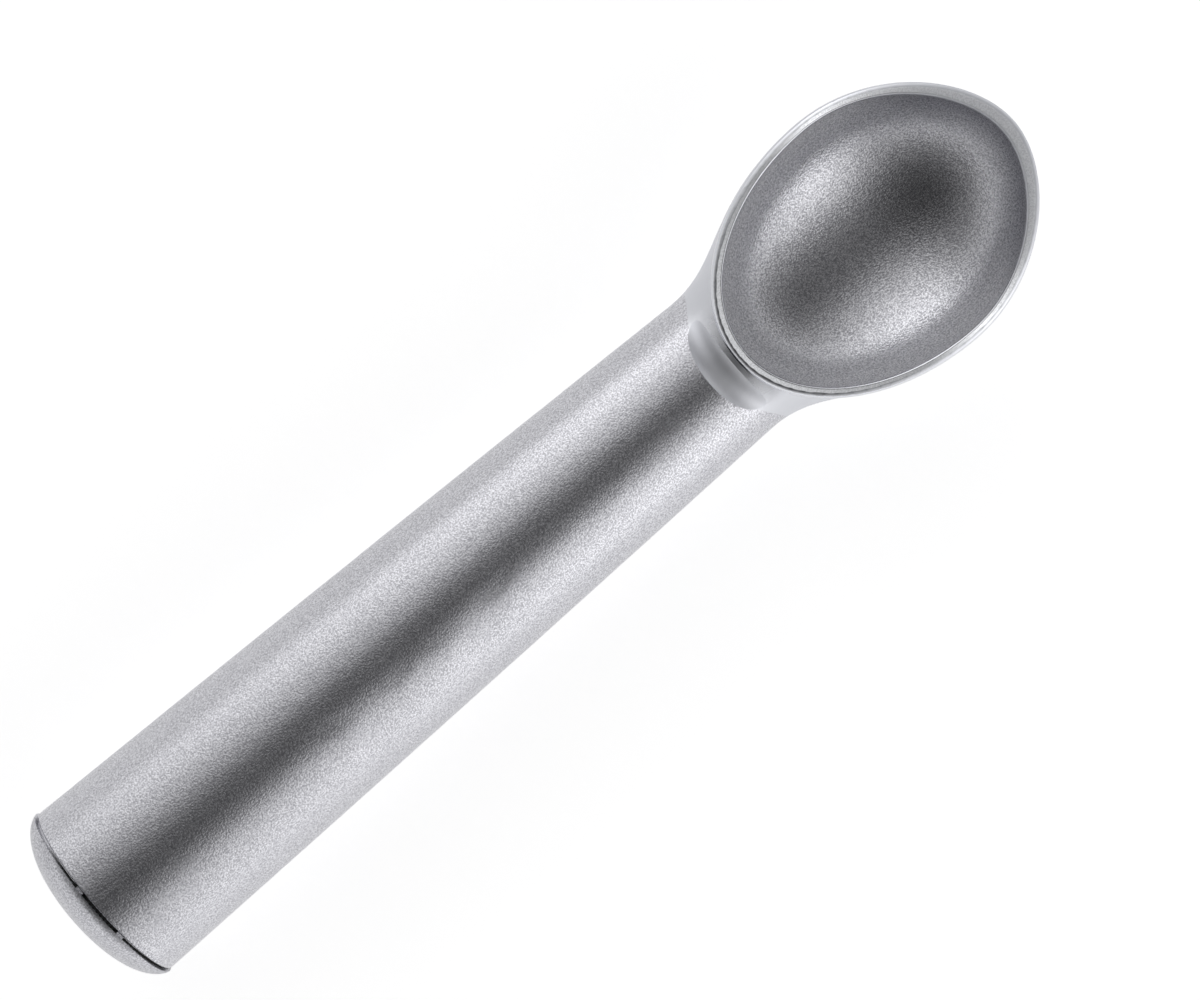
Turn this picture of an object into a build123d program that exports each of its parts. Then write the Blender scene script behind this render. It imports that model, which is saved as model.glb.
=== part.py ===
import os
from math import atan, cos, degrees, radians, sin

from build123d import *

os.makedirs("parts", exist_ok=True)

# A one-piece cast ice cream scoop with a hollow handle that holds a heat-carrying fluid.
# It lies on a level surface at Z = 0 with its bowl up and its handle along X.
# The bowl's tip points to +X. All sizes are in millimetres.

# Overall, and from the tip back to where the handle becomes the neck
OVERALL_LENGTH = 177.8
NECK_TO_TIP = 53.75

# Handle: an even taper with a slight swell in the middle
BUTT_RADIUS = 14.77
NECK_RADIUS = 11.66
HANDLE_SWELL = 0.15
PLAIN_TO_NECK = 3.5
HANDLE_END_ROUND = 0.3

# Lip round the bowl's mouth, an egg in plan, with lengths measured back from the tip
LIP_LENGTH = 52.45
LIP_WIDTH = 40.2
LIP_WIDEST = 24.25
LIP_AT_TIP = 2.35
LIP_AT_SIDE = 1.5
LIP_AT_REAR = 1.8
LIP_HEIGHT = 2.0
LIP_INNER_ROUND = 0.4
LIP_OUTER_ROUND = 0.9

# The egg's fullness: a quarter ellipse behind the widest place, a leaner, blunter one before it
REAR_FULLNESS = 0.552
SIDE_FULLNESS = 0.56
TIP_FULLNESS = 0.445

# Bowl, with its mouth a little above the top of the neck
MOUTH_ABOVE_NECK = 0.35
BOWL_DEPTH = 13.5
BOWL_STRAIGHT = 1.0
SHELL_INSET = 0.15
WALL_INSET = 0.25

# Neck: how the round handle swells into the bowl
FLARE_LEAVES_NECK = 9.9
FLARE_MEETS_BOWL = 16.6
FLARE_SHARES = (0.15, 0.3, 0.45, 0.6, 0.8, 1.0)

# Cove: the crescent hollow behind the lip, a leaning ring whose throat dips under the top of
# the handle and comes out again to either side
COVE_RADIUS = 3.35
COVE_TO_NECK = 0.2
COVE_LEAN = 32.0
COVE_ARC = 100.0
THROAT_DIP = 0.3
THROAT_RUN_OUT = 5.48

# Socket for the cap, and the tapered hollow with a round end
SOCKET_RADIUS = 11.8
SOCKET_DEPTH = 10.0
CORE_BUTT_RADIUS = 11.2
CORE_NECK_RADIUS = 8.8
CORE_PAST_NECK = 0.5
CORE_END_ROUND = 6.0

# End cap, pressed into the handle's open end
CAP_RISE = 5.65
CAP_SHOULDER = 0.12
CAP_CROWN = 0.88
FLANGE_PROUD = 0.23
SPIGOT_LENGTH = 9.0
SPIGOT_CLEARANCE = 0.05
SPIGOT_CHAMFER = 0.8
SPIGOT_WALL = 3.4

# Seam between the flange and the handle, open all round but for two short spots
SEAM_GAP = 0.35
SEAM_DEPTH = 0.8
SEAM_SPOT_ANGLES = (-12.0, 22.0)
SEAM_SPOT_LENGTH = 1.3

# Seal ring, squeezed between the spigot's groove and the socket
SEAL_THICKNESS = 1.6
SEAL_WIDTH = 2.0
SEAL_STATION = 5.0
SEAL_SIDE_PLAY = 0.15
SEAL_ROUND = 0.5

# Heat-carrying fluid, with room to expand
AIR_SPACE = 4.0
FLUID_CLEARANCE = 0.02

# Places worked out from the sizes above. Stations run along the handle's axis from the seam.
NECK_STATION = OVERALL_LENGTH - CAP_RISE - NECK_TO_TIP
PLAIN_STATION = NECK_STATION - PLAIN_TO_NECK
CORE_END_STATION = NECK_STATION + CORE_PAST_NECK
TIP_X = OVERALL_LENGTH / 2
SEAM_X = CAP_RISE - OVERALL_LENGTH / 2
WIDEST_X = TIP_X - LIP_WIDEST
LIP_REAR_X = TIP_X - LIP_LENGTH
LIP_HALF_WIDTH = LIP_WIDTH / 2
SHELL_RADIUS = LIP_HALF_WIDTH - SHELL_INSET
MOUTH_HALF_WIDTH = LIP_HALF_WIDTH - LIP_AT_SIDE
MOUTH_HEIGHT = FLANGE_PROUD + 2 * NECK_RADIUS + MOUTH_ABOVE_NECK
LIP_BASE_Z = MOUTH_HEIGHT - LIP_HEIGHT
HOLLOW_AXIS_Z = MOUTH_HEIGHT - BOWL_STRAIGHT
HOLLOW_SHARE = (BOWL_DEPTH - BOWL_STRAIGHT) / MOUTH_HALF_WIDTH
FLANGE_RADIUS = BUTT_RADIUS + FLANGE_PROUD
SPIGOT_RADIUS = SOCKET_RADIUS - SPIGOT_CLEARANCE

# The handle's axis slopes down to the bowl by the taper, so its underside lies level.
# In HANDLE_SIDE, x runs along the handle from the seam and y stands up from its axis.
TAPER = (BUTT_RADIUS - NECK_RADIUS) / NECK_STATION
AXIS_TILT = degrees(atan(TAPER))
BUTT_AXIS_Z = FLANGE_RADIUS * cos(radians(AXIS_TILT))
ALONG = Vector(cos(radians(AXIS_TILT)), 0, -sin(radians(AXIS_TILT)))
HANDLE_SIDE = Plane(origin=(SEAM_X, 0, BUTT_AXIS_Z), x_dir=ALONG, z_dir=(0, -1, 0))
HANDLE_AXIS = Axis(HANDLE_SIDE.origin, ALONG)


def handle_radius(station):
    """Outer radius of the handle at a station."""
    share = station / NECK_STATION
    return BUTT_RADIUS - TAPER * station + HANDLE_SWELL * 4 * share * (1 - share)


def across_handle(station):
    """Plane square to the handle's axis at a station, with x to the side and y up."""
    return Plane(origin=HANDLE_SIDE.origin + ALONG * station, x_dir=(0, 1, 0), z_dir=ALONG)


def side_plane(height):
    """Upright plane along X whose x axis lies at a height."""
    return Plane(origin=(0, 0, height), x_dir=(1, 0, 0), z_dir=(0, -1, 0))


def front_quarter(tip_x, half_width):
    """Outline from the bowl's widest place to its tip, for the line being built."""
    length = tip_x - WIDEST_X
    Bezier(
        (WIDEST_X, half_width),
        (WIDEST_X + SIDE_FULLNESS * length, half_width),
        (tip_x, TIP_FULLNESS * half_width),
        (tip_x, 0),
    )


def rear_quarter(rear_x, half_width):
    """Outline from the bowl's rear to its widest place, for the line being built."""
    length = WIDEST_X - rear_x
    Bezier(
        (rear_x, 0),
        (rear_x, REAR_FULLNESS * half_width),
        (WIDEST_X - REAR_FULLNESS * length, half_width),
        (WIDEST_X, half_width),
    )


def bowl_plan(rear_x, tip_x, half_width):
    """Whole outline of the bowl in plan, for the line being built."""
    rear_quarter(rear_x, half_width)
    front_quarter(tip_x, half_width)
    mirror(about=Plane.XZ)


def core_radius(station, inset):
    """Radius of the handle's tapered hollow at a station."""
    share = (station - SOCKET_DEPTH) / (CORE_END_STATION - SOCKET_DEPTH)
    return CORE_BUTT_RADIUS + (CORE_NECK_RADIUS - CORE_BUTT_RADIUS) * share - inset


def core_outline(start, inset):
    """Half outline of the tapered hollow with its rounded end, for the line being built."""
    end = CORE_END_STATION - inset
    sides = FilletPolyline(
        (start, core_radius(start, inset)),
        (end, core_radius(end, inset)),
        (end, 0),
        radius=CORE_END_ROUND,
    )
    Polyline(sides @ 1, (start, 0), sides @ 0)


# How the neck swells in plan: a curve of X against radius
with BuildLine() as flare_line:
    flare = Bezier(
        (SEAM_X + NECK_STATION, NECK_RADIUS),
        (SEAM_X + NECK_STATION + FLARE_LEAVES_NECK, NECK_RADIUS),
        (WIDEST_X - FLARE_MEETS_BOWL, SHELL_RADIUS),
        (WIDEST_X, SHELL_RADIUS),
    )


def across_bowl(point):
    """Upright plane across the bowl at a point of the flare, so high that the keel is smooth."""
    risen = (point.Y - NECK_RADIUS) / (SHELL_RADIUS - NECK_RADIUS)
    keel_height = FLANGE_PROUD * (1 - risen)
    return Plane(origin=(point.X, 0, keel_height + point.Y), x_dir=(0, 1, 0), z_dir=(1, 0, 0))


# The cove is part of a ring whose axis leans up from the handle's. Its throat is a flatter curve
# than the handle's leaning section, so the cut grows shallower to both sides and runs out.
COVE_RISE = radians(COVE_LEAN - AXIS_TILT)
COVE_AXIS_DIR = Vector(cos(COVE_RISE), 0, sin(COVE_RISE))
COVE_UP = Vector(-sin(COVE_RISE), 0, cos(COVE_RISE))
SECTION_CURVE = 1 / (NECK_RADIUS * cos(radians(COVE_LEAN)))
COVE_THROAT = 1 / (SECTION_CURVE - 2 * THROAT_DIP / THROAT_RUN_OUT**2)
COVE_TOP = HANDLE_SIDE.from_local_coords((NECK_STATION - COVE_TO_NECK, NECK_RADIUS, 0))
COVE_CENTRE = COVE_TOP - COVE_UP * (THROAT_DIP + COVE_THROAT)
COVE_AXIS = Axis(COVE_CENTRE, COVE_AXIS_DIR)
COVE_NORMAL = COVE_UP.rotate(COVE_AXIS, 90 - COVE_ARC / 2)
COVE_START = Plane(origin=COVE_CENTRE, x_dir=COVE_AXIS_DIR, z_dir=COVE_NORMAL)

# The bowl's upright wall, from the sections' widest line up to the mouth
with BuildPart() as bowl_wall:
    with BuildSketch():
        with BuildLine():
            bowl_plan(LIP_REAR_X + WALL_INSET, TIP_X - WALL_INSET, LIP_HALF_WIDTH - WALL_INSET)
        make_face()
    extrude(amount=MOUTH_HEIGHT)
    with BuildSketch(Plane.XZ):
        with BuildLine():
            add(flare)
            Polyline(
                flare @ 1,
                (TIP_X, SHELL_RADIUS),
                (TIP_X, MOUTH_HEIGHT),
                ((flare @ 0).X, MOUTH_HEIGHT),
                flare @ 0,
            )
        make_face()
    extrude(amount=LIP_WIDTH, both=True, mode=Mode.INTERSECT)

# The lip, rounded along its outer edge
with BuildPart() as lip:
    with BuildSketch(Plane.XY.offset(LIP_BASE_Z)) as lip_plan:
        with BuildLine():
            bowl_plan(LIP_REAR_X, TIP_X, LIP_HALF_WIDTH)
        make_face()
    extrude(amount=LIP_HEIGHT)
    fillet(lip.faces().sort_by(Axis.Z)[-1].edges(), radius=LIP_OUTER_ROUND)

# The bowl's hollow: half an egg turned about its long axis, then flattened to the bowl's depth
with BuildPart() as hollow:
    with BuildSketch():
        with BuildLine():
            rear_quarter(LIP_REAR_X + LIP_AT_REAR, MOUTH_HALF_WIDTH)
            front_quarter(TIP_X - LIP_AT_TIP, MOUTH_HALF_WIDTH)
            Line((TIP_X - LIP_AT_TIP, 0), (LIP_REAR_X + LIP_AT_REAR, 0))
        make_face()
    revolve(axis=-Axis.X, revolution_arc=180)
    scale(by=(1, 1, HOLLOW_SHARE))

# The casting: bowl, neck and hollow handle in one piece
with BuildPart() as scoop_body:
    # Neck and back of the bowl: round sections that swell from the handle's end
    for station in (PLAIN_STATION, (PLAIN_STATION + NECK_STATION) / 2, NECK_STATION):
        with BuildSketch(across_handle(station)):
            Circle(handle_radius(station))
    for share in FLARE_SHARES:
        with BuildSketch(across_bowl(flare @ share)):
            Circle((flare @ share).Y)
    loft()

    # Front of the bowl: the plan outline turned about the bowl's long axis
    with BuildSketch(side_plane(SHELL_RADIUS)):
        with BuildLine():
            front_quarter(TIP_X - SHELL_INSET, SHELL_RADIUS)
            Polyline((TIP_X - SHELL_INSET, 0), (WIDEST_X, 0), (WIDEST_X, SHELL_RADIUS))
        make_face()
    revolve(axis=Axis((0, 0, SHELL_RADIUS), (1, 0, 0)))

    # The mouth is level
    split(bisect_by=Plane.XY.offset(MOUTH_HEIGHT), keep=Keep.BOTTOM)

    # Tapered handle
    with BuildSketch(HANDLE_SIDE) as handle_profile:
        with BuildLine():
            side = ThreePointArc(
                (0, BUTT_RADIUS),
                (PLAIN_STATION / 2, handle_radius(PLAIN_STATION / 2)),
                (PLAIN_STATION, handle_radius(PLAIN_STATION)),
            )
            Polyline(side @ 1, (PLAIN_STATION, 0), (0, 0), side @ 0)
        make_face()
        end_corners = handle_profile.vertices().group_by(Axis.X)[0]
        fillet(end_corners.sort_by(Axis.Y)[-1], radius=HANDLE_END_ROUND)
    revolve(axis=HANDLE_AXIS)

    # Cove behind the lip
    with BuildSketch(COVE_START):
        with Locations((0, COVE_THROAT + COVE_RADIUS)):
            Circle(COVE_RADIUS)
    revolve(axis=COVE_AXIS, revolution_arc=COVE_ARC, mode=Mode.SUBTRACT)

    # Upright wall, and the rounded lip in place of all that stands where it goes
    add(bowl_wall.part)
    extrude(lip_plan.sketch, amount=LIP_HEIGHT, mode=Mode.SUBTRACT)
    add(lip.part)

    # Inside of the bowl: straight down from the mouth, then the shallow egg
    with BuildSketch(Plane.XY.offset(HOLLOW_AXIS_Z)):
        with BuildLine():
            bowl_plan(LIP_REAR_X + LIP_AT_REAR, TIP_X - LIP_AT_TIP, MOUTH_HALF_WIDTH)
        make_face()
    extrude(amount=BOWL_DEPTH, mode=Mode.SUBTRACT)
    with Locations((0, 0, HOLLOW_AXIS_Z)):
        add(hollow.part, mode=Mode.SUBTRACT)

    # Rounded inner edge of the lip
    lip_top = scoop_body.faces().filter_by(Axis.Z).sort_by(Axis.Z)[-1]
    fillet(lip_top.inner_wires()[0].edges(), radius=LIP_INNER_ROUND)

    # Socket for the cap, and the tapered hollow
    with BuildSketch(across_handle(0)):
        Circle(SOCKET_RADIUS)
    extrude(amount=SOCKET_DEPTH, mode=Mode.SUBTRACT)
    with BuildSketch(HANDLE_SIDE):
        with BuildLine():
            core_outline(SOCKET_DEPTH, 0)
        make_face()
    revolve(axis=HANDLE_AXIS, mode=Mode.SUBTRACT)

scoop_body.part.label = "scoop_body"
export_step(scoop_body.part, "parts/scoop_body.step")

# End cap: a shallow dome with a sharp flange and a hollow spigot
SEAM_FLOOR_RADIUS = BUTT_RADIUS - SEAM_DEPTH
with BuildPart() as end_cap:
    with BuildSketch(HANDLE_SIDE) as cap_profile:
        with BuildLine():
            dome = Bezier(
                (-SEAM_GAP, FLANGE_RADIUS),
                (-SEAM_GAP - CAP_SHOULDER * (CAP_RISE - SEAM_GAP), FLANGE_RADIUS),
                (-CAP_RISE, CAP_CROWN * FLANGE_RADIUS),
                (-CAP_RISE, 0),
            )
            Polyline(
                dome @ 0,
                (-SEAM_GAP, SEAM_FLOOR_RADIUS),
                (0, SEAM_FLOOR_RADIUS),
                (0, SPIGOT_RADIUS),
                (SPIGOT_LENGTH, SPIGOT_RADIUS),
                (SPIGOT_LENGTH, SPIGOT_RADIUS - SPIGOT_WALL),
                (0, SPIGOT_RADIUS - SPIGOT_WALL),
                (0, 0),
                dome @ 1,
            )
        make_face()
        spigot_corners = cap_profile.vertices().group_by(Axis.X)[-1]
        chamfer(spigot_corners.sort_by(Axis.Y)[-1], length=SPIGOT_CHAMFER)
    revolve(axis=HANDLE_AXIS)

    # Groove for the seal
    with BuildSketch(across_handle(SEAL_STATION - SEAL_WIDTH / 2 - SEAL_SIDE_PLAY)):
        Circle(SOCKET_RADIUS)
        Circle(SOCKET_RADIUS - SEAL_THICKNESS, mode=Mode.SUBTRACT)
    extrude(amount=SEAL_WIDTH + 2 * SEAL_SIDE_PLAY, mode=Mode.SUBTRACT)

    # Two spots where the flange bears on the handle's end
    with BuildSketch(across_handle(0)):
        for angle in SEAM_SPOT_ANGLES:
            with PolarLocations(SEAM_FLOOR_RADIUS, 1, start_angle=angle + 90):
                Rectangle(2 * SEAM_DEPTH, SEAM_SPOT_LENGTH)
    extrude(amount=-SEAM_GAP)

end_cap.part.label = "end_cap"
export_step(end_cap.part, "parts/end_cap.step")

# Seal ring
with BuildPart() as cap_seal:
    with BuildSketch(HANDLE_SIDE):
        with Locations((SEAL_STATION, SOCKET_RADIUS - SEAL_THICKNESS / 2)):
            RectangleRounded(SEAL_WIDTH, SEAL_THICKNESS, radius=SEAL_ROUND)
    revolve(axis=HANDLE_AXIS)

cap_seal.part.label = "cap_seal"
export_step(cap_seal.part, "parts/cap_seal.step")

# Fluid sealed in the handle
with BuildPart() as heat_fluid:
    with BuildSketch(HANDLE_SIDE):
        with BuildLine():
            core_outline(SPIGOT_LENGTH + AIR_SPACE, FLUID_CLEARANCE)
        make_face()
    revolve(axis=HANDLE_AXIS)

heat_fluid.part.label = "heat_fluid"
export_step(heat_fluid.part, "parts/heat_fluid.step")
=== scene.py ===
from math import sqrt

import bpy
import numpy as np
from mathutils import Matrix

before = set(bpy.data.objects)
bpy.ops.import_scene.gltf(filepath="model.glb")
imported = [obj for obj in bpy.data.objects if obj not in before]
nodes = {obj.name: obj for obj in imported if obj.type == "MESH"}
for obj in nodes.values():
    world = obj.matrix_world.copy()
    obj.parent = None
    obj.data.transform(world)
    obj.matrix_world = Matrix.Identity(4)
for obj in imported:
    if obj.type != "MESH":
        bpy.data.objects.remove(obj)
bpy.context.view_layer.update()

MM = 0.001

# Camera: above the scoop, turned so that the handle runs to the lower left
CAMERA_TARGET = (8.596 * MM, -3.222 * MM, 15.0 * MM)
CAMERA_DISTANCE = 460.40 * MM
CAMERA_ROLL = -0.05516
CAMERA_PITCH = 0.00539
CAMERA_TURN = -0.70339
LENS = 94.8
SENSOR = 36.0

# The line where the satin of the handle ends: it leans back from the sides to the top
LINE_X = 37.2 * MM
LINE_LEVEL = 13.5 * MM
LINE_LEAN = 0.056 / MM
LINE_SOFTNESS = 0.12 * MM

# The cove's ring, as in the solids, and its metal
COVE_CENTRE = (41.621 * MM, 0.0, 12.67 * MM)
COVE_AXIS = (0.86167, 0.0, 0.50747)
COVE_REACH = 15.673 * MM
COVE_RADIUS = 3.35 * MM
SURFACE_SLACK = 0.005 * MM
COVE_CLOUD_SCALE = 160.0
COVE_TONES = ((0.76, 0.77, 0.82), (0.86, 0.87, 0.91))
COVE_ROUGHNESS = (0.44, 0.52)

# Noise scales are cells per metre. The grain has light and dark specks, and the clouds
# are a larger mottle that varies the roughness.
GRAIN_SCALE = 3900.0
GRAIN_DEPTH = 0.05 * MM
GRAIN_ON_SMOOTH = 0.03
GRAIN_SPREAD = (0.36, 0.64)
CLOUD_SCALE = 120.0
CLOUD_DETAIL = 3.0
CLOUD_SPREAD = (0.3, 0.7)
WEAR_SCALE = 90.0
SATIN_AT_LEAST = 0.94

# Satin and smooth metal: the darkest and lightest tone, the lowest and highest roughness
HANDLE_TONES = ((0.47, 0.47, 0.505), (0.84, 0.84, 0.88))
HANDLE_ROUGHNESS = (0.24, 0.28)
CAP_TONES = ((0.36, 0.36, 0.39), (0.76, 0.76, 0.80))
CAP_ROUGHNESS = (0.26, 0.32)
BOWL_TONES = ((0.42, 0.42, 0.455), (0.93, 0.93, 0.97))
BOWL_ROUGHNESS = (0.20, 0.23)
SMOOTH_TONES = ((0.72, 0.73, 0.77), (0.78, 0.79, 0.83))
SMOOTH_ROUGHNESS = (0.30, 0.36)

# The bowl's wall is duller toward the rim, and its colour is paler there: painted light. There is
# less of both toward the tip, so the tip's wall is painted darker: painted shade.
DULL_PAINTED_LIGHT_TONES = ((0.58, 0.58, 0.615), (0.98, 0.98, 1.0))
DULL_ROUGHNESS = 0.72
BOWL_DULL_AND_PAINTED_LIGHT_FROM = 14.5 * MM
BOWL_DULL_AND_PAINTED_LIGHT_TO = 19.5 * MM
TIP_LESS_DULL_AND_LIGHT_FROM = 68.0 * MM
TIP_LESS_DULL_AND_LIGHT_TO = 82.0 * MM
TIP_LESS_DULL_AND_LIGHT_LEAVES = 0.4

# The lip, its pale ground top that seems to lean outward, and its duller tip
LIP_REAR_X = 36.3 * MM
LIP_BASE_Z = 21.9 * MM
LIP_TOP_FROM = 23.86 * MM
LIP_TOP_TO = 23.89 * MM
LIP_TIP_FROM = 72.0 * MM
LIP_TIP_TO = 86.0 * MM
LIP_LEAN_TO_ENDS = 0.85
LIP_LEAN_TO_SIDES = 0.5
LIP_LEAN_LEFT_AT_TIP = 0.45
LIP_SIDE_COLOUR = (0.78, 0.79, 0.83)
LIP_GROUND_TONES = ((0.80, 0.81, 0.84), (0.96, 0.97, 1.0))
LIP_ROUGHNESS = 0.22
LIP_TIP_ROUGHNESS = 0.6

# The bowl's inside, up to where the lip's inner edge starts to round
BOWL_REAR_X = 38.2 * MM
BOWL_MIDDLE = (65.0 * MM, 0.0, 24.0 * MM)
LIP_ROUND_Z = 23.48 * MM

# The handle's taper, as in the solids. Its axis slopes so that its underside lies level.
BUTT_RADIUS = 14.77 * MM
NECK_RADIUS = 11.66 * MM
TAPER_LENGTH = 118.4 * MM
SLOPE = (BUTT_RADIUS - NECK_RADIUS) / TAPER_LENGTH

# The seam between the cap and the handle, from where the handle's axis ends. Between its two
# closed spots its faces are painted near black: painted shade in the gap. Beyond them a line
# beside the handle is bare metal, and toward the left side all of it is.
SEAM_X = -83.25 * MM
SEAM_Z = 14.995 * MM
SEAM_GAP = 0.35 * MM
SEAM_FACES_REACH = 0.357 * MM
SEAM_RADIUS = 14.6 * MM
SEAM_OPEN_TO_LEFT = 4.0 * MM
SEAM_OPEN_TO_RIGHT = 6.2 * MM
SEAM_BLEND = 0.6 * MM
SEAM_BARE_FROM = -0.5 * SEAM_GAP
SEAM_BARE_TO = -0.4 * SEAM_GAP
SEAM_CLOSES_FROM = 7.0 * MM
SEAM_CLOSES_TO = 11.0 * MM
SEAM_BARE_COLOUR = (0.85, 0.85, 0.88)
SEAM_BARE_ROUGHNESS = 0.3
# Near-black tones painted into the seam's gap as painted shade, mottled by noise
SEAM_PAINTED_SHADE_TONES = ((0.015, 0.015, 0.015), (0.05, 0.05, 0.05))
SEAM_DARK_ROUGHNESS = 0.7
SEAM_PAINTED_SHADE_MOTTLE_SCALE = 900.0

# The hidden pieces
RUBBER_SPECK_SCALE = 2500.0
RUBBER_TONES = ((0.012, 0.012, 0.012), (0.03, 0.03, 0.03))
RUBBER_ROUGHNESS = 0.6
FLUID_SWIRL_SCALE = 60.0
FLUID_TONES = ((0.62, 0.72, 0.76), (0.72, 0.80, 0.83))
FLUID_ROUGHNESS = 0.15

# Surroundings: bright toward the two sides, and less so toward the ends. Each pair is a part
# of the direction, Y or X, from -1 to 1, and the brightness there or what is left of it.
# END_GLOW is for a glow that is brightest low down toward the two ends.
SIDEWAYS = (
    (-1.0, 1.55),
    (-0.65, 0.90),
    (-0.5, 0.35),
    (-0.3, 0.17),
    (0.1, 0.12),
    (0.45, 0.62),
    (1.0, 1.55),
)
LENGTHWISE = ((-0.7, 0.2), (-0.35, 0.25), (0.25, 1.0), (0.85, 0.2))
END_GLOW = 1.1
WHITE = (1.0, 1.0, 1.0, 1.0)

# The floor, its glow to the camera, and its glow in the metal on the -Y and the +Y side
FLOOR_SPAN = 3.0
FLOOR_COLOUR = (0.80, 0.80, 0.80, 1.0)
FLOOR_GLOW = 0.72
FLOOR_GLOW_IN_METAL = (0.70, 0.36)
FLOOR_GLOW_TURNS = 0.12

# Slots of the casting's and the cap's materials
OUTSIDE, INSIDE, COVE, LIP = range(4)
CAP, SEAM = range(2)


def link(tree, from_socket, to_socket):
    """Link an output to an input."""
    tree.links.new(from_socket, to_socket)


def add(tree, kind, **settings):
    """A node of a kind with its plain settings."""
    node = tree.nodes.new(kind)
    for key, value in settings.items():
        setattr(node, key, value)
    return node


def empty_material(name):
    """A material with nothing but its output node, and that node's surface socket."""
    material = bpy.data.materials.new(name)
    material.use_nodes = True
    tree = material.node_tree
    tree.nodes.clear()
    output = add(tree, "ShaderNodeOutputMaterial")
    return material, tree, output.inputs["Surface"]


def object_place(tree):
    """The point's place in the object, which is its place in the frame."""
    return add(tree, "ShaderNodeTexCoord").outputs["Object"]


def principled(name, metallic):
    """A material with one shader: the material, its tree, the point's place and the sockets."""
    material, tree, surface = empty_material(name)
    shader = add(tree, "ShaderNodeBsdfPrincipled")
    shader.inputs["Metallic"].default_value = metallic
    link(tree, shader.outputs["BSDF"], surface)
    return material, tree, object_place(tree), shader.inputs


def put(tree, value, socket):
    """Put a number or another socket's value into a socket."""
    if isinstance(value, (int, float)):
        socket.default_value = value
    else:
        link(tree, value, socket)


def parts_of(tree, vector):
    """A vector's X, Y and Z."""
    node = add(tree, "ShaderNodeSeparateXYZ")
    link(tree, vector, node.inputs["Vector"])
    return [node.outputs[axis] for axis in "XYZ"]


def reckon(tree, operation, first, second=0.0):
    """What a Math node makes of numbers or sockets."""
    node = add(tree, "ShaderNodeMath", operation=operation)
    put(tree, first, node.inputs[0])
    put(tree, second, node.inputs[1])
    return node.outputs["Value"]


def noise(tree, place, scale, detail=2.0):
    """Noise of a scale at a place."""
    node = add(tree, "ShaderNodeTexNoise")
    node.inputs["Scale"].default_value = scale
    node.inputs["Detail"].default_value = detail
    link(tree, place, node.inputs["Vector"])
    return node.outputs["Fac"]


def spread(tree, value, low, high, to_low, to_high, smooth=False):
    """The value's range low to high, spread to another range."""
    node = add(tree, "ShaderNodeMapRange")
    if smooth:
        node.interpolation_type = "SMOOTHSTEP"
    node.inputs["From Min"].default_value = low
    node.inputs["From Max"].default_value = high
    put(tree, to_low, node.inputs["To Min"])
    put(tree, to_high, node.inputs["To Max"])
    link(tree, value, node.inputs["Value"])
    return node.outputs["Result"]


def step(tree, value, low, high):
    """A smooth share that goes from 0 at low to 1 at high."""
    return spread(tree, value, low, high, 0.0, 1.0, smooth=True)


def between(tree, share, first, second):
    """A number that goes from the first to the second with the share."""
    return spread(tree, share, 0.0, 1.0, first, second)


def two_tone(tree, share, first, second):
    """A colour that goes from the first to the second with the share."""
    node = add(tree, "ShaderNodeMix", data_type="RGBA")
    for value, name in ((first, "A"), (second, "B")):
        if isinstance(value, tuple):
            node.inputs[name].default_value = (*value, 1.0)
        else:
            link(tree, value, node.inputs[name])
    link(tree, share, node.inputs["Factor"])
    return node.outputs["Result"]


def cast_metal(name, satin_share, tones, roughness, dull_and_painted_light_share=None):
    """Aluminium that is satin and grained where the share is 1, and smooth where it is 0."""
    material, tree, place, metal = principled(name, 1.0)
    share = satin_share(tree, place)
    grain = noise(tree, place, GRAIN_SCALE)
    speck = spread(tree, grain, *GRAIN_SPREAD, 0.0, 1.0)
    cloud = spread(tree, noise(tree, place, CLOUD_SCALE, CLOUD_DETAIL), *CLOUD_SPREAD, 0.0, 1.0)
    satin = two_tone(tree, speck, *tones)
    rough_satin = between(tree, cloud, *roughness)
    # Where the dull share is 1 the metal is rougher and painted paler: painted light on the bowl's
    # wall near the rim.
    if dull_and_painted_light_share:
        dull_and_painted_light = dull_and_painted_light_share(tree, place)
        satin = two_tone(tree, dull_and_painted_light, satin, two_tone(tree, speck, *DULL_PAINTED_LIGHT_TONES))
        rough_satin = between(tree, dull_and_painted_light, rough_satin, DULL_ROUGHNESS)
    smooth = two_tone(tree, cloud, *SMOOTH_TONES)
    rough_smooth = between(tree, cloud, *SMOOTH_ROUGHNESS)
    link(tree, two_tone(tree, share, smooth, satin), metal["Base Color"])
    link(tree, between(tree, share, rough_smooth, rough_satin), metal["Roughness"])
    bump = add(tree, "ShaderNodeBump")
    bump.inputs["Distance"].default_value = GRAIN_DEPTH
    link(tree, between(tree, share, GRAIN_ON_SMOOTH, 1.0), bump.inputs["Strength"])
    link(tree, grain, bump.inputs["Height"])
    link(tree, bump.outputs["Normal"], metal["Normal"])
    return material


def satin_all_over(tree, place):
    """Share for the cap and the inside of the bowl: satin, a little smoother in places."""
    wear = noise(tree, place, WEAR_SCALE)
    return spread(tree, wear, *CLOUD_SPREAD, SATIN_AT_LEAST, 1.0)


def satin_up_to_the_neck(tree, place):
    """Share for the outside: satin on the handle, polished beyond its line."""
    x, _, z = parts_of(tree, place)
    above = reckon(tree, "MAXIMUM", reckon(tree, "SUBTRACT", z, LINE_LEVEL), 0.0)
    lean = reckon(tree, "MULTIPLY", reckon(tree, "MULTIPLY", above, above), LINE_LEAN)
    past = reckon(tree, "SUBTRACT", reckon(tree, "ADD", x, lean), LINE_X)
    return spread(tree, past, -LINE_SOFTNESS, LINE_SOFTNESS, 1.0, 0.0, smooth=True)


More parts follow.
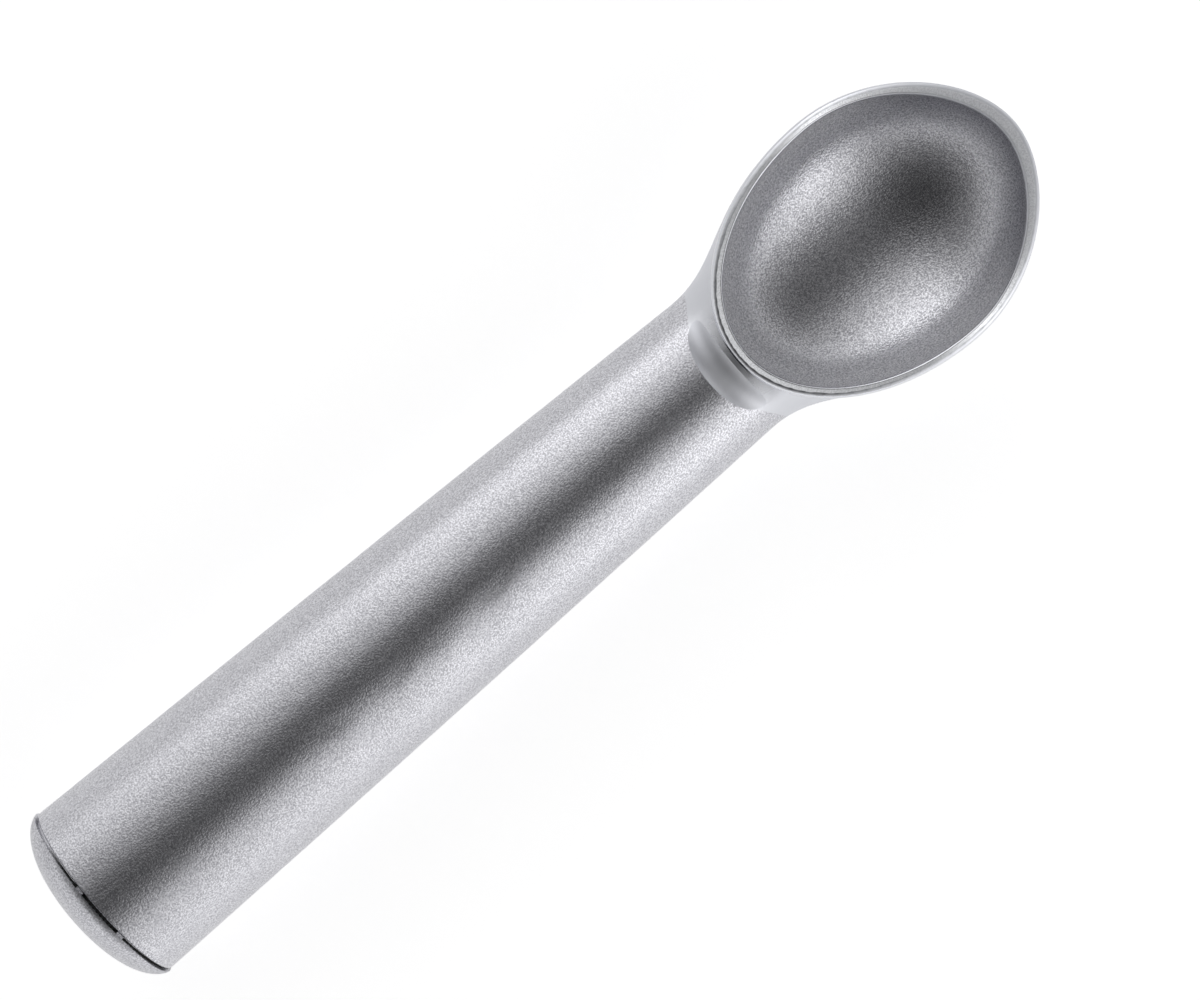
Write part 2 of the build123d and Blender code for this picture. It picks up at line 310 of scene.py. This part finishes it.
def dull_and_painted_light_up_the_bowl(tree, place):
    """Share for the bowl's wall, rougher and painted paler (painted light): none at the floor, 1
    near the rim, less toward the tip (painted shade there).
    """
    x, _, z = parts_of(tree, place)
    high = step(tree, z, BOWL_DULL_AND_PAINTED_LIGHT_FROM, BOWL_DULL_AND_PAINTED_LIGHT_TO)
    # Less of the roughness and painted light toward the tip, so the tip's wall is painted darker:
    # painted shade.
    dull_and_light_kept = spread(tree, x, TIP_LESS_DULL_AND_LIGHT_FROM, TIP_LESS_DULL_AND_LIGHT_TO, 1.0, TIP_LESS_DULL_AND_LIGHT_LEAVES, smooth=True)
    return reckon(tree, "MULTIPLY", high, dull_and_light_kept)


def outward_lean(tree, x, y):
    """A normal that leans away from the bowl's middle, as on the real, crowned lip."""
    outward = add(tree, "ShaderNodeCombineXYZ")
    link(tree, reckon(tree, "SUBTRACT", x, BOWL_MIDDLE[0]), outward.inputs["X"])
    link(tree, y, outward.inputs["Y"])
    unit = add(tree, "ShaderNodeVectorMath", operation="NORMALIZE")
    link(tree, outward.outputs["Vector"], unit.inputs[0])
    lean = add(tree, "ShaderNodeVectorMath", operation="MULTIPLY_ADD")
    link(tree, unit.outputs["Vector"], lean.inputs[0])
    lean.inputs[1].default_value = (LIP_LEAN_TO_ENDS, LIP_LEAN_TO_SIDES, 0.0)
    lean.inputs[2].default_value = (0.0, 0.0, 1.0)
    return lean.outputs["Vector"]


def lip_metal():
    """The lip: smooth metal, with a pale ground top whose normals lean outward."""
    material, tree, place, metal = principled("lip_metal", 1.0)
    x, y, z = parts_of(tree, place)
    top = step(tree, z, LIP_TOP_FROM, LIP_TOP_TO)
    tip = step(tree, x, LIP_TIP_FROM, LIP_TIP_TO)
    speck = spread(tree, noise(tree, place, GRAIN_SCALE), *GRAIN_SPREAD, 0.0, 1.0)
    ground = two_tone(tree, speck, *LIP_GROUND_TONES)
    link(tree, two_tone(tree, top, LIP_SIDE_COLOUR, ground), metal["Base Color"])
    link(tree, between(tree, tip, LIP_ROUGHNESS, LIP_TIP_ROUGHNESS), metal["Roughness"])
    blend = add(tree, "ShaderNodeMix", data_type="VECTOR")
    leaning = reckon(tree, "MULTIPLY", top, between(tree, tip, 1.0, LIP_LEAN_LEFT_AT_TIP))
    link(tree, leaning, blend.inputs["Factor"])
    link(tree, add(tree, "ShaderNodeNewGeometry").outputs["Normal"], blend.inputs["A"])
    link(tree, outward_lean(tree, x, y), blend.inputs["B"])
    normal = add(tree, "ShaderNodeVectorMath", operation="NORMALIZE")
    link(tree, blend.outputs["Result"], normal.inputs[0])
    link(tree, normal.outputs["Vector"], metal["Normal"])
    return material


def cove_metal():
    """Smooth, slightly dull metal in the cove behind the lip."""
    material, tree, place, metal = principled("cove_metal", 1.0)
    mottle = noise(tree, place, COVE_CLOUD_SCALE, CLOUD_DETAIL)
    cloud = spread(tree, mottle, *CLOUD_SPREAD, 0.0, 1.0)
    link(tree, two_tone(tree, cloud, *COVE_TONES), metal["Base Color"])
    link(tree, between(tree, cloud, *COVE_ROUGHNESS), metal["Roughness"])
    return material


def dark_seam():
    """The seam's inner faces: painted near black as painted shade between the closed spots, and
    beyond them partly bare metal.
    """
    material, tree, place, metal = principled("dark_seam", 0.0)
    x, y, z = parts_of(tree, place)
    leaned = reckon(tree, "MULTIPLY", reckon(tree, "SUBTRACT", z, SEAM_Z), -SLOPE)
    station = reckon(tree, "ADD", reckon(tree, "SUBTRACT", x, SEAM_X), leaned)
    near_handle = step(tree, station, SEAM_BARE_FROM, SEAM_BARE_TO)
    left_end = SEAM_OPEN_TO_LEFT + SEAM_BLEND
    right_end = SEAM_BLEND - SEAM_OPEN_TO_RIGHT
    left = spread(tree, y, SEAM_OPEN_TO_LEFT, left_end, 0.0, 1.0)
    right = spread(tree, y, -SEAM_OPEN_TO_RIGHT, right_end, 1.0, 0.0)
    line = reckon(tree, "MULTIPLY", near_handle, reckon(tree, "MAXIMUM", left, right))
    closed = spread(tree, y, SEAM_CLOSES_FROM, SEAM_CLOSES_TO, 0.0, 1.0)
    bare = reckon(tree, "MAXIMUM", line, closed)
    # Painted shade: the seam's faces are near black and mottled by noise
    dark = two_tone(tree, noise(tree, place, SEAM_PAINTED_SHADE_MOTTLE_SCALE), *SEAM_PAINTED_SHADE_TONES)
    link(tree, two_tone(tree, bare, dark, SEAM_BARE_COLOUR), metal["Base Color"])
    link(tree, bare, metal["Metallic"])
    rough = between(tree, bare, SEAM_DARK_ROUGHNESS, SEAM_BARE_ROUGHNESS)
    link(tree, rough, metal["Roughness"])
    return material


def black_rubber():
    """Matt black rubber of the seal ring."""
    material, tree, place, rubber = principled("black_rubber", 0.0)
    speck = noise(tree, place, RUBBER_SPECK_SCALE)
    link(tree, two_tone(tree, speck, *RUBBER_TONES), rubber["Base Color"])
    rubber["Roughness"].default_value = RUBBER_ROUGHNESS
    return material


def sealed_fluid():
    """Pale fluid inside the handle."""
    material, tree, place, fluid = principled("sealed_fluid", 0.0)
    swirl = noise(tree, place, FLUID_SWIRL_SCALE)
    link(tree, two_tone(tree, swirl, *FLUID_TONES), fluid["Base Color"])
    fluid["Roughness"].default_value = FLUID_ROUGHNESS
    return material


def pale_floor():
    """Pale floor that shows white to the camera, is pale in the metal and keeps the shadow."""
    material, tree, surface = empty_material("pale_floor")
    diffuse = add(tree, "ShaderNodeBsdfDiffuse")
    diffuse.inputs["Color"].default_value = FLOOR_COLOUR
    glow = add(tree, "ShaderNodeEmission")
    glow.inputs["Color"].default_value = WHITE
    rays = add(tree, "ShaderNodeLightPath").outputs
    mirrored = reckon(tree, "MAXIMUM", rays["Is Glossy Ray"], rays["Is Transmission Ray"])
    _, y, _ = parts_of(tree, object_place(tree))
    there = spread(tree, y, -FLOOR_GLOW_TURNS, FLOOR_GLOW_TURNS, *FLOOR_GLOW_IN_METAL)
    in_metal = reckon(tree, "MULTIPLY", mirrored, there)
    in_view = reckon(tree, "MULTIPLY", rays["Is Camera Ray"], FLOOR_GLOW)
    link(tree, reckon(tree, "ADD", in_view, in_metal), glow.inputs["Strength"])
    both = add(tree, "ShaderNodeAddShader")
    link(tree, diffuse.outputs["BSDF"], both.inputs[0])
    link(tree, glow.outputs["Emission"], both.inputs[1])
    link(tree, both.outputs["Shader"], surface)
    return material


def by_direction(tree, part, steps):
    """What pairs of a direction's part, from -1 to 1, and a brightness give for that part."""
    node = add(tree, "ShaderNodeValToRGB")
    elements = node.color_ramp.elements
    while len(elements) < len(steps):
        elements.new(1.0)
    for element, (place, bright) in zip(elements, steps):
        element.position = (place + 1.0) / 2.0
        element.color = (bright, bright, bright, 1.0)
    link(tree, spread(tree, part, -1.0, 1.0, 0.0, 1.0), node.inputs["Fac"])
    return node.outputs["Color"]


def soft_surroundings():
    """World: bright at the two sides, dark overhead and toward the ends, pale low at the ends."""
    world = bpy.data.worlds.new("soft_surroundings")
    world.use_nodes = True
    tree = world.node_tree
    tree.nodes.clear()
    output = add(tree, "ShaderNodeOutputWorld")
    x, y, z = parts_of(tree, add(tree, "ShaderNodeTexCoord").outputs["Generated"])
    across = by_direction(tree, y, SIDEWAYS)
    sides = reckon(tree, "MULTIPLY", across, by_direction(tree, x, LENGTHWISE))
    lowness = reckon(tree, "SUBTRACT", 1.0, z)
    toward_end = reckon(tree, "MULTIPLY", reckon(tree, "ABSOLUTE", x), END_GLOW)
    ends = reckon(tree, "MULTIPLY", reckon(tree, "MULTIPLY", lowness, lowness), toward_end)
    soft = add(tree, "ShaderNodeBackground")
    soft.inputs["Color"].default_value = WHITE
    link(tree, reckon(tree, "ADD", sides, ends), soft.inputs["Strength"])
    link(tree, soft.outputs["Background"], output.inputs["Surface"])
    bpy.context.scene.world = world


def give_slots(mesh, materials):
    """Give a mesh these materials in place of its own."""
    mesh.materials.clear()
    for material in materials:
        mesh.materials.append(material)


def mesh_points(mesh):
    """A mesh's points as rows of an array."""
    points = np.zeros(len(mesh.vertices) * 3)
    mesh.vertices.foreach_get("co", points)
    return points.reshape(-1, 3)


def points_in_cove(mesh):
    """Which of a mesh's points lie on the cove's ring."""
    from_centre = mesh_points(mesh) - np.array(COVE_CENTRE)
    along = from_centre @ np.array(COVE_AXIS)
    away = np.linalg.norm(from_centre - along[:, None] * np.array(COVE_AXIS), axis=1)
    from_ring = np.hypot(away - COVE_REACH, along)
    return np.abs(from_ring - COVE_RADIUS) < SURFACE_SLACK


def finish_casting(body):
    """Put the outside's, the bowl's, the cove's and the lip's materials on the casting."""
    outside = cast_metal("outside_metal", satin_up_to_the_neck, HANDLE_TONES, HANDLE_ROUGHNESS)
    inside = cast_metal("bowl_metal", satin_all_over, BOWL_TONES, BOWL_ROUGHNESS, dull_and_painted_light_up_the_bowl)
    mesh = body.data
    give_slots(mesh, (outside, inside, cove_metal(), lip_metal()))
    in_cove = points_in_cove(mesh)
    middle = np.array(BOWL_MIDDLE)
    for face in mesh.polygons:
        centre = np.array(face.center)
        inward = np.dot(middle - centre, face.normal) > 0 and centre[0] > BOWL_REAR_X
        if inward and centre[2] < LIP_ROUND_Z:
            face.material_index = INSIDE
        elif centre[2] > LIP_BASE_Z and centre[0] > LIP_REAR_X:
            face.material_index = LIP
        elif all(in_cove[i] for i in face.vertices):
            face.material_index = COVE
        else:
            face.material_index = OUTSIDE


def finish_cap(cap):
    """Satin on the cap, and the seam's material down beside the handle's end."""
    mesh = cap.data
    satin = cast_metal("cap_metal", satin_all_over, CAP_TONES, CAP_ROUGHNESS)
    give_slots(mesh, (satin, dark_seam()))
    along = np.array((1.0, 0.0, -SLOPE)) / sqrt(1.0 + SLOPE * SLOPE)
    seam = np.array((SEAM_X, 0.0, SEAM_Z))
    for face in mesh.polygons:
        from_seam = np.array(face.center) - seam
        station = from_seam @ along
        away = np.linalg.norm(from_seam - station * along)
        in_seam = -SEAM_FACES_REACH < station < 0.0 and away < SEAM_RADIUS
        face.material_index = SEAM if in_seam else CAP


def set_camera():
    """The camera at the photograph's viewing angle."""
    data = bpy.data.cameras.new("camera")
    data.lens = LENS
    data.sensor_width = SENSOR
    camera = bpy.data.objects.new("camera", data)
    bpy.context.scene.collection.objects.link(camera)
    turned = (
        Matrix.Rotation(CAMERA_ROLL, 4, "X")
        @ Matrix.Rotation(CAMERA_PITCH, 4, "Y")
        @ Matrix.Rotation(CAMERA_TURN, 4, "Z")
    )
    back = Matrix.Translation((0.0, 0.0, CAMERA_DISTANCE))
    camera.matrix_world = Matrix.Translation(CAMERA_TARGET) @ turned @ back
    bpy.context.scene.camera = camera


def lay_floor():
    """A square floor at the level on which the scoop lies."""
    half = FLOOR_SPAN / 2
    corners = [(-half, -half, 0.0), (half, -half, 0.0), (half, half, 0.0), (-half, half, 0.0)]
    mesh = bpy.data.meshes.new("floor")
    mesh.from_pydata(corners, [], [(0, 1, 2, 3)])
    floor = bpy.data.objects.new("floor", mesh)
    bpy.context.scene.collection.objects.link(floor)
    mesh.materials.append(pale_floor())


bpy.context.scene.view_settings.view_transform = "Standard"
finish_casting(nodes["scoop_body"])
finish_cap(nodes["end_cap"])
give_slots(nodes["cap_seal"].data, [black_rubber()])
give_slots(nodes["heat_fluid"].data, [sealed_fluid()])
soft_surroundings()
lay_floor()
set_camera()
